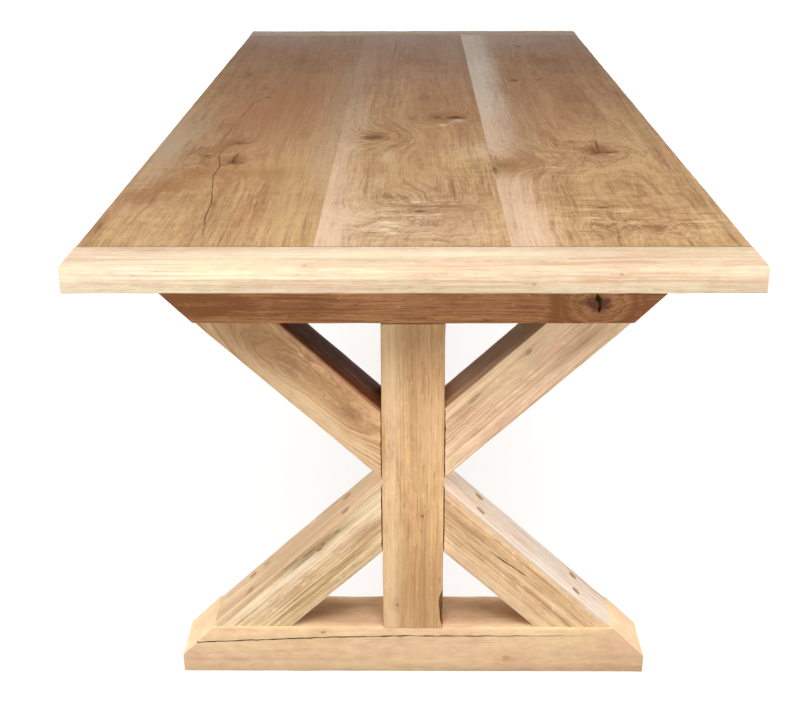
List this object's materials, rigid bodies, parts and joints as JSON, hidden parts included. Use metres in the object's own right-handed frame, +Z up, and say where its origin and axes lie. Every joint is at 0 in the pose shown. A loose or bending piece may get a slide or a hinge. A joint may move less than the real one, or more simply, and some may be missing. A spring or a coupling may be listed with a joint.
{
  "type": "sawbuck table",
  "caption": "Long oak dining table: planked top with pale breadboard ends on two braced X trestles joined by a stretcher.",
  "frame": {"origin": "middle of the table's footprint, on the floor", "axes": "+Y along the table's length towards its rear end, +X to the right seen from the front end, +Z up"},
  "size_m": [1, 2.4, 0.76],
  "materials": {
    "plank_oak": "knotty oak planks under a satin oil finish",
    "pale_oak": "pale straight-grained oak, satin oil finish",
    "timber_oak": "square-sawn oak timbers, matt oil finish",
    "plug_oak": "oak plugs sanded flush",
    "inner_oak": "bare oak, hidden in its joint",
    "steel": "zinc-plated steel"
  },
  "bodies": {
    "root": {"top_plank_left": "plank_oak", "top_plank_middle": "plank_oak", "top_plank_right": "plank_oak", "plank_spline_left": "inner_oak", "plank_spline_right": "inner_oak", "breadboard_front": "pale_oak", "breadboard_pegs_front": "inner_oak", "front_foot": "timber_oak", "front_post": "timber_oak", "front_top_beam": "timber_oak", "front_brace_upper_left": "timber_oak", "front_brace_upper_right": "timber_oak", "front_brace_lower_left": "timber_oak", "front_brace_lower_right": "timber_oak", "front_brace_screws": "steel", "front_brace_plugs": "plug_oak", "front_top_screws": "steel", "front_top_washers": "steel", "front_stretcher_pegs": "inner_oak", "breadboard_rear": "pale_oak", "breadboard_pegs_rear": "inner_oak", "rear_foot": "timber_oak", "rear_post": "timber_oak", "rear_top_beam": "timber_oak", "rear_brace_upper_left": "timber_oak", "rear_brace_upper_right": "timber_oak", "rear_brace_lower_left": "timber_oak", "rear_brace_lower_right": "timber_oak", "rear_brace_screws": "steel", "rear_brace_plugs": "plug_oak", "rear_top_screws": "steel", "rear_top_washers": "steel", "rear_stretcher_pegs": "inner_oak", "stretcher": "timber_oak"}
  },
  "joints": []
}
